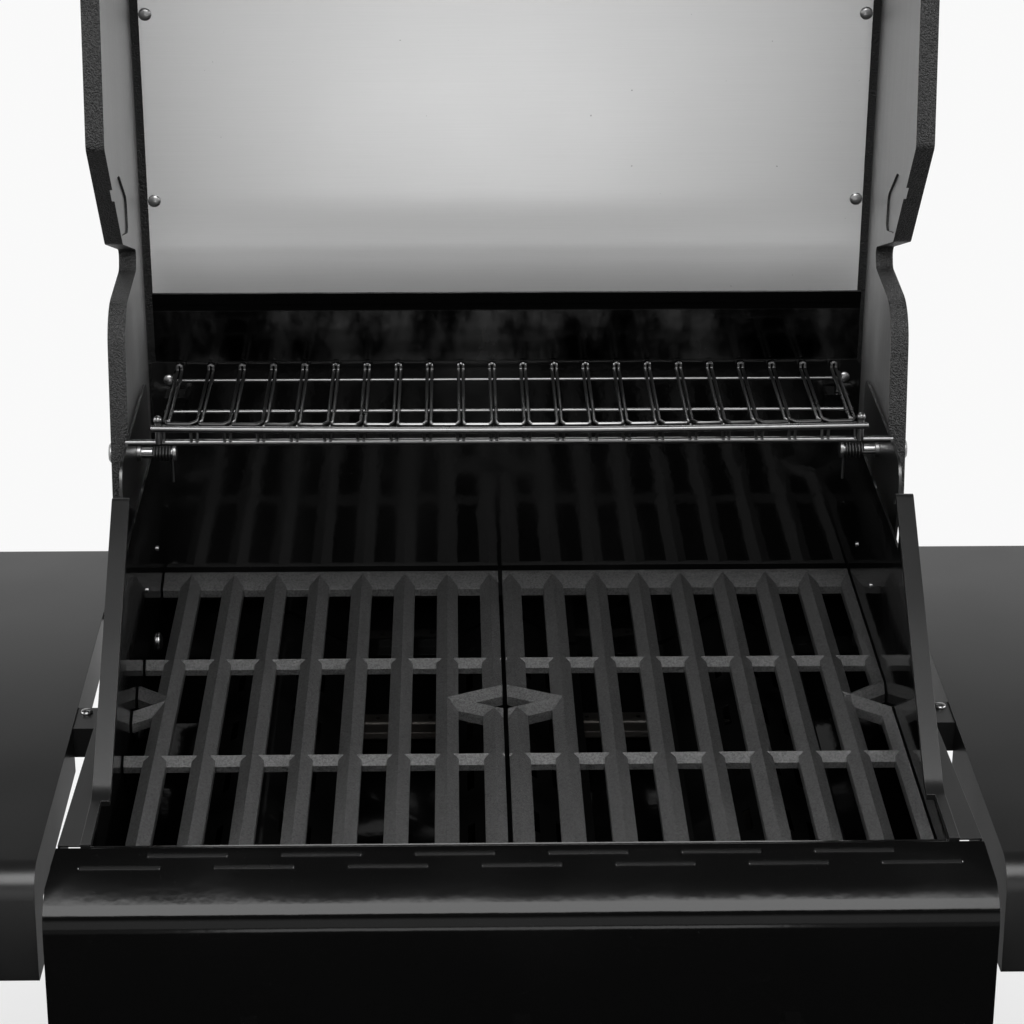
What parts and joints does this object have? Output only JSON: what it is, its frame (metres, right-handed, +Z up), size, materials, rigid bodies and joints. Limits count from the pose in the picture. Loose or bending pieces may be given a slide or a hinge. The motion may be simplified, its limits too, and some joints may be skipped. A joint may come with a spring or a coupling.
{
  "type": "gas barbecue grill",
  "caption": "Gas barbecue grill on a pedestal cart, with an open hooded lid, split cooking grates, warming rack, slotted control panel and side shelves.",
  "frame": {"origin": "On the floor, under the middle of the cabinet, at the height that the feet and wheels stand on", "axes": "+X to the right along the control panel, +Y to the back, +Z up; the control panel faces -Y"},
  "size_m": [1.256, 0.6211, 1.4714],
  "materials": {
    "enamel_black": "gloss",
    "paint_black": "satin",
    "cast_grate": "matte",
    "cast_cap": "fine texture",
    "stainless": "brushed",
    "burner_steel": "heat-toned",
    "bright_wire": "polished",
    "zinc": "satin",
    "tray_steel": "galvanised",
    "brass": "satin",
    "ceramic": "gloss",
    "knob_plastic": "satin",
    "button_plastic": "gloss",
    "black_plastic": "matte"
  },
  "bodies": {
    "cart": {"firebox": "enamel_black", "rear_shield": "enamel_black", "wing_left": "paint_black", "wing_right": "paint_black", "ear_left": "paint_black", "ear_right": "paint_black", "fascia": "enamel_black", "heat_tent_1": "burner_steel", "heat_tent_2": "burner_steel", "heat_tent_3": "burner_steel", "burner_1": "burner_steel", "burner_2": "burner_steel", "burner_3": "burner_steel", "crossover": "burner_steel", "electrodes": "ceramic", "manifold": "zinc", "valve_1": "brass", "valve_2": "brass", "valve_3": "brass", "knob_bezels": "zinc", "igniter_body": "black_plastic", "shelf_left": "paint_black", "shelf_right": "paint_black", "shelf_arms": "paint_black", "cart_side_left": "paint_black", "cart_side_right": "paint_black", "cart_back": "paint_black", "base_pan": "paint_black", "cradles": "paint_black", "tray_rails": "tray_steel", "axle": "zinc", "feet": "black_plastic", "hinge_pins": "zinc", "hinge_springs": "zinc", "box_screws": "zinc"},
    "lid": {"lid_sheet": "stainless", "lid_cap_left": "cast_cap", "lid_cap_right": "cast_cap", "lid_handle": "stainless", "handle_posts": "black_plastic", "lid_screws": "zinc"},
    "grate_left_body": {"grate_left": "cast_grate"},
    "grate_right_body": {"grate_right": "cast_grate"},
    "rack_body": {"warming_rack": "bright_wire"},
    "door_body": {"door": "paint_black", "door_handle": "stainless"},
    "tray_body": {"drip_tray": "tray_steel"},
    "cup_body": {"drip_cup": "tray_steel"},
    "front_wheel": {"wheel_front": "black_plastic"},
    "rear_wheel": {"wheel_rear": "black_plastic"},
    "button_body": {"igniter_button": "button_plastic"},
    "push_1": {"spring_cup_1": "zinc"},
    "turn_1": {"stem_1": "zinc", "knob_1": "knob_plastic"},
    "push_2": {"spring_cup_2": "zinc"},
    "turn_2": {"stem_2": "zinc", "knob_2": "knob_plastic"},
    "push_3": {"spring_cup_3": "zinc"},
    "turn_3": {"stem_3": "zinc", "knob_3": "knob_plastic"}
  },
  "joints": [
    {"name": "lid_hinge", "type": "hinge", "parent": "cart", "child": "lid", "pos_m": [0, 0.1765, 0.9945], "axis": [-1, 0, 0], "range_deg": [-101, 0]},
    {"name": "grate_left_tilt", "type": "hinge", "parent": "cart", "child": "grate_left_body", "pos_m": [-0.2655, 0.012, 0.87], "axis": [0, -1, 0], "range_deg": [0, 28]},
    {"name": "grate_right_tilt", "type": "hinge", "parent": "cart", "child": "grate_right_body", "pos_m": [0.2655, 0.012, 0.87], "axis": [0, 1, 0], "range_deg": [0, 28]},
    {"name": "rack_lift", "type": "slide", "parent": "cart", "child": "rack_body", "axis": [0, 0, 1], "range_m": [0, 0.09]},
    {"name": "knob_push_1", "type": "slide", "parent": "cart", "child": "push_1", "axis": [0, 0.9978, -0.0663], "range_m": [0, 0.004], "stiffness_N_per_m": 900, "springref_m": -0.002},
    {"name": "knob_turn_1", "type": "hinge", "parent": "push_1", "child": "turn_1", "pos_m": [-0.172, -0.2375, 0.755], "axis": [0, -0.9978, 0.0663], "range_deg": [0, 230]},
    {"name": "knob_push_2", "type": "slide", "parent": "cart", "child": "push_2", "axis": [0, 0.9978, -0.0663], "range_m": [0, 0.004], "stiffness_N_per_m": 900, "springref_m": -0.002},
    {"name": "knob_turn_2", "type": "hinge", "parent": "push_2", "child": "turn_2", "pos_m": [0, -0.2375, 0.755], "axis": [0, -0.9978, 0.0663], "range_deg": [0, 230]},
    {"name": "knob_push_3", "type": "slide", "parent": "cart", "child": "push_3", "axis": [0, 0.9978, -0.0663], "range_m": [0, 0.004], "stiffness_N_per_m": 900, "springref_m": -0.002},
    {"name": "knob_turn_3", "type": "hinge", "parent": "push_3", "child": "turn_3", "pos_m": [0.172, -0.2375, 0.755], "axis": [0, -0.9978, 0.0663], "range_deg": [0, 230]},
    {"name": "igniter_push", "type": "slide", "parent": "cart", "child": "button_body", "axis": [0, 0.9978, -0.0663], "range_m": [0, 0.005], "stiffness_N_per_m": 700, "springref_m": -0.002},
    {"name": "door_hinge", "type": "hinge", "parent": "cart", "child": "door_body", "pos_m": [-0.211, -0.21, 0.4], "axis": [0, 0, -1], "range_deg": [0, 110]},
    {"name": "tray_slide", "type": "slide", "parent": "cart", "child": "tray_body", "axis": [0, 1, 0], "range_m": [0, 0.3]},
    {"name": "cup_slide", "type": "slide", "parent": "tray_body", "child": "cup_body", "axis": [0, -1, 0], "range_m": [0, 0.1]},
    {"name": "front_wheel_spin", "type": "hinge", "parent": "cart", "child": "front_wheel", "pos_m": [0.205, -0.2191, 0.076], "axis": [0, 1, 0], "continuous": true},
    {"name": "rear_wheel_spin", "type": "hinge", "parent": "cart", "child": "rear_wheel", "pos_m": [0.205, 0.2191, 0.076], "axis": [0, 1, 0], "continuous": true}
  ]
}
